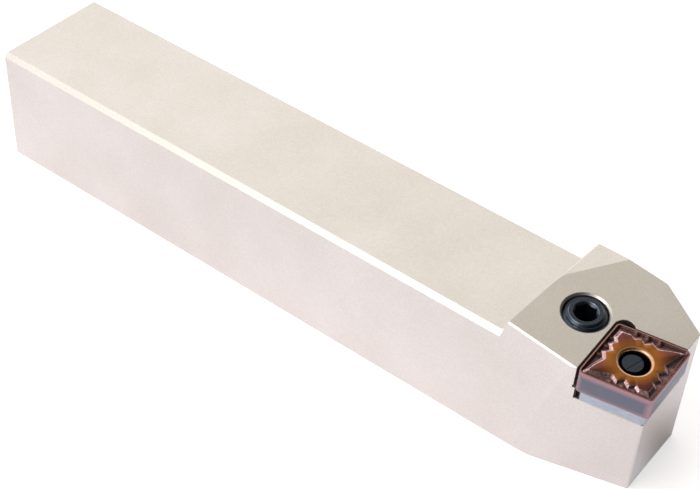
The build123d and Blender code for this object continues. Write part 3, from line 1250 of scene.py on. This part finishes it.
@dataclass
class Studio:
    """Camera, white floor, a soft box and the pale room round them."""

    place: Triple = (195.05, -210.01, 247.28)  # the camera's
    heading: float = 40.491  # degrees from +Y towards -X
    tilt: float = -40.927  # degrees below the horizon
    roll: float = 0.329
    lens: float = 101.47
    shift: tuple[float, float] = (0.0122, 0.0166)
    clip: tuple[float, float] = (0.01, 10.0)  # metres
    floor_size: float = 3.0  # metres
    floor_gap: float = 0.01  # between the object's foot and the floor
    floor_colour: str = "#f6f2f4"
    floor_mirrored: str = "#a9acbb"  # glow that metal sees in the floor
    painted_shadow_place: Triple = (88.0, 8.0, 0.0)  # painted shadow: the spot where that glow fades out, so the metal mirrors a dark floor beside the tip
    painted_shadow_radius: float = 9.6
    floor_seen: float = 0.6  # glow that the camera sees, weak enough to keep the shadow
    # Direction of the room's bright side, and its walls from the dark side to that one.
    window: Triple = (-0.858, -0.101, -0.505)
    walls: Stops = (
        (0.08, "#383838"),
        (0.16, "#626262"),
        (0.28, "#a09c94"),
        (0.40, "#e4e0d8"),
        (0.47, "#fafafa"),
        (0.66, "#ffffff"),
    )
    room_level: float = 1.2
    key: Softbox = Softbox(
        "key", heading=-103.0, height=40.0, distance=0.7, size=0.45, watts=0.95
    )

    def add_camera(self) -> None:
        """Adds the camera."""
        data = bpy.data.cameras.new("camera")
        data.lens = self.lens
        data.shift_x, data.shift_y = self.shift
        data.clip_start, data.clip_end = self.clip
        camera = bpy.data.objects.new("camera", data)
        turn = (
            Matrix.Rotation(math.radians(self.heading), 3, "Z")
            @ Matrix.Rotation(math.radians(90 + self.tilt), 3, "X")
            @ Matrix.Rotation(math.radians(self.roll), 3, "Z")
        )
        camera.rotation_euler = turn.to_euler()
        camera.location = Vector(self.place) * MM
        bpy.context.scene.collection.objects.link(camera)
        bpy.context.scene.camera = camera

    def add_floor(self) -> None:
        """Adds the floor, white to the camera and still holding the object's shadow, with a
        painted shadow spot in the glow that metal mirrors.
        """
        bm = bmesh.new()
        bmesh.ops.create_grid(bm, x_segments=1, y_segments=1, size=self.floor_size / 2)
        mesh = bpy.data.meshes.new("floor")
        bm.to_mesh(mesh)
        bm.free()
        floor = bpy.data.objects.new("floor", mesh)
        floor.location.z = cad_box[0].z - self.floor_gap * MM
        bpy.context.scene.collection.objects.link(floor)
        material, tree = new_material("white_floor_card")
        rays = add_node(tree, "LightPath").outputs
        card = add_node(tree, "BsdfDiffuse", {"Color": linear(self.floor_colour)})
        # Painted shadow: a round spot beside the tip where the glow that metal mirrors fades
        # out.
        near = add_node(
            tree,
            "Mapping",
            {
                "Vector": add_node(tree, "TexCoord").outputs["Object"],
                "Location": Vector(self.painted_shadow_place) * MM,
                "Scale": (self.painted_shadow_radius * MM,) * 3,
            },
            vector_type="TEXTURE",
        )
        painted_shadow_spot = add_node(
            tree, "TexGradient", {"Vector": near}, gradient_type="SPHERICAL"
        )
        mirrored = add_node(
            tree,
            "Math",
            {0: rays["Is Glossy Ray"], 1: painted_shadow_spot.outputs["Fac"]},
            operation="SUBTRACT",
            use_clamp=True,
        )
        glow = add_node(
            tree,
            "Emission",
            {"Color": linear(self.floor_mirrored), "Strength": mirrored},
        )
        seen = add_node(
            tree,
            "Math",
            {0: rays["Is Camera Ray"], 1: self.floor_seen},
            operation="MULTIPLY",
        )
        white = add_node(tree, "Emission", {"Strength": seen})
        glows = add_node(tree, "AddShader", {0: glow, 1: white})
        lit = add_node(tree, "AddShader", {0: card, 1: glows})
        add_node(tree, "OutputMaterial", {"Surface": lit})
        mesh.materials.append(material)

    def add_room(self) -> None:
        """Adds the world: white to the camera, else a room that darkens to one side."""
        world = bpy.data.worlds.new("pale_room")
        world.use_nodes = True
        bpy.context.scene.world = world
        tree = world.node_tree
        tree.nodes.clear()
        camera_ray = add_node(tree, "LightPath").outputs["Is Camera Ray"]
        direction = add_node(tree, "TexCoord").outputs["Generated"]
        towards = add_node(
            tree, "VectorMath", {0: direction, 1: self.window}, operation="DOT_PRODUCT"
        )
        share = add_node(
            tree,
            "Math",
            {0: towards.outputs["Value"], 1: 1 / 2, 2: 1 / 2},
            operation="MULTIPLY_ADD",
        )
        wall = add_node(tree, "ValToRGB", {"Fac": share}, self.walls)
        level = self.room_level
        room = add_node(tree, "Background", {"Color": wall, "Strength": level})
        white = add_node(tree, "Background", {"Color": (1, 1, 1, 1)})
        seen = add_node(tree, "MixShader", {0: camera_ray, 1: room, 2: white})
        add_node(tree, "OutputWorld", {"Surface": seen})

    def build(self) -> None:
        """Sets the whole studio up."""
        scene = bpy.context.scene
        scene.view_settings.view_transform = "Standard"
        self.add_camera()
        self.add_floor()
        self.add_room()
        self.key.add((cad_box[0] + cad_box[1]) / 2)


def main() -> None:
    """Builds every sub-assembly in order."""
    logging.basicConfig(level=logging.INFO)
    Studio().build()
    log.info("dressed %s", HolderBody().dress().name)
    log.info("built %s", Insert(Axes.of_insert(LEAD_ANGLE)).build().name)
    log.info("built %s", ClampScrew(Axes.of_screw()).build().name)
    for node in ClampParts().dress():
        log.info("dressed %s", node.name)


if __name__ == "__main__":
    main()
